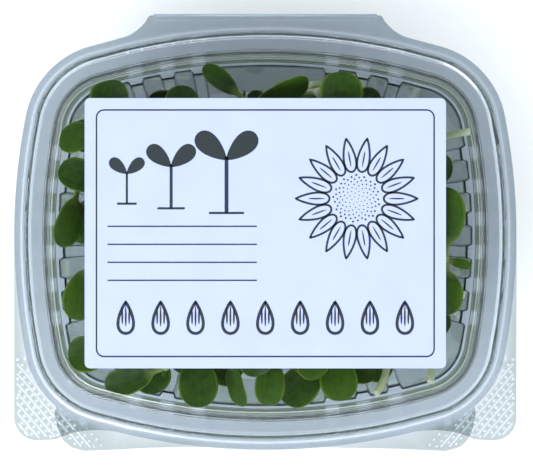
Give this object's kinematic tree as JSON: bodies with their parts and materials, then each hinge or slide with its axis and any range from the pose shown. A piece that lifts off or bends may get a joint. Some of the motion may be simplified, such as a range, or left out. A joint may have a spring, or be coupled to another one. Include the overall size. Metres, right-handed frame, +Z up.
{
  "type": "sunflower microgreens tray",
  "caption": "Clear hinged food tray with bowed sides, a ribbed wall, corner tabs and a label on its raised lid, filled with cut sunflower sprouts.",
  "frame": {"origin": "under the middle of the tray's bounding box, at the height of the foot ring", "axes": "+X to the right with the hinge behind, +Y from the corner tabs towards the hinge, +Z up"},
  "size_m": [0.1846, 0.1602, 0.0554],
  "materials": {
    "clear_sheet": "clear, glossy, thermoformed",
    "label_paper": "smooth, printed, slightly satin",
    "sprout_leaf": "waxy green seed leaves on pale stems"
  },
  "bodies": {
    "tray": {"tray_base": "clear_sheet", "sprout_01": "sprout_leaf", "sprout_02": "sprout_leaf", "sprout_03": "sprout_leaf", "sprout_04": "sprout_leaf", "sprout_05": "sprout_leaf", "sprout_06": "sprout_leaf", "sprout_07": "sprout_leaf", "sprout_08": "sprout_leaf", "sprout_09": "sprout_leaf", "sprout_10": "sprout_leaf", "sprout_11": "sprout_leaf", "sprout_12": "sprout_leaf", "sprout_13": "sprout_leaf", "sprout_14": "sprout_leaf", "sprout_15": "sprout_leaf", "sprout_16": "sprout_leaf", "sprout_17": "sprout_leaf", "sprout_18": "sprout_leaf", "sprout_19": "sprout_leaf", "sprout_20": "sprout_leaf", "sprout_21": "sprout_leaf", "sprout_22": "sprout_leaf", "sprout_23": "sprout_leaf", "sprout_24": "sprout_leaf", "sprout_25": "sprout_leaf", "sprout_26": "sprout_leaf", "sprout_27": "sprout_leaf", "sprout_28": "sprout_leaf", "sprout_29": "sprout_leaf", "sprout_30": "sprout_leaf", "sprout_31": "sprout_leaf", "sprout_32": "sprout_leaf", "sprout_33": "sprout_leaf", "sprout_34": "sprout_leaf", "sprout_35": "sprout_leaf", "sprout_36": "sprout_leaf", "sprout_37": "sprout_leaf", "sprout_38": "sprout_leaf", "sprout_39": "sprout_leaf", "sprout_40": "sprout_leaf", "sprout_41": "sprout_leaf", "sprout_42": "sprout_leaf", "sprout_43": "sprout_leaf", "sprout_44": "sprout_leaf", "sprout_45": "sprout_leaf", "sprout_46": "sprout_leaf", "sprout_47": "sprout_leaf", "sprout_48": "sprout_leaf", "sprout_49": "sprout_leaf"},
    "lid": {"lid": "clear_sheet", "label": "label_paper"}
  },
  "joints": [
    {"name": "lid_hinge", "type": "hinge", "parent": "tray", "child": "lid", "pos_m": [0, 0.08027, 0.04615], "axis": [-1, 0, 0], "range_deg": [0, 180]}
  ]
}
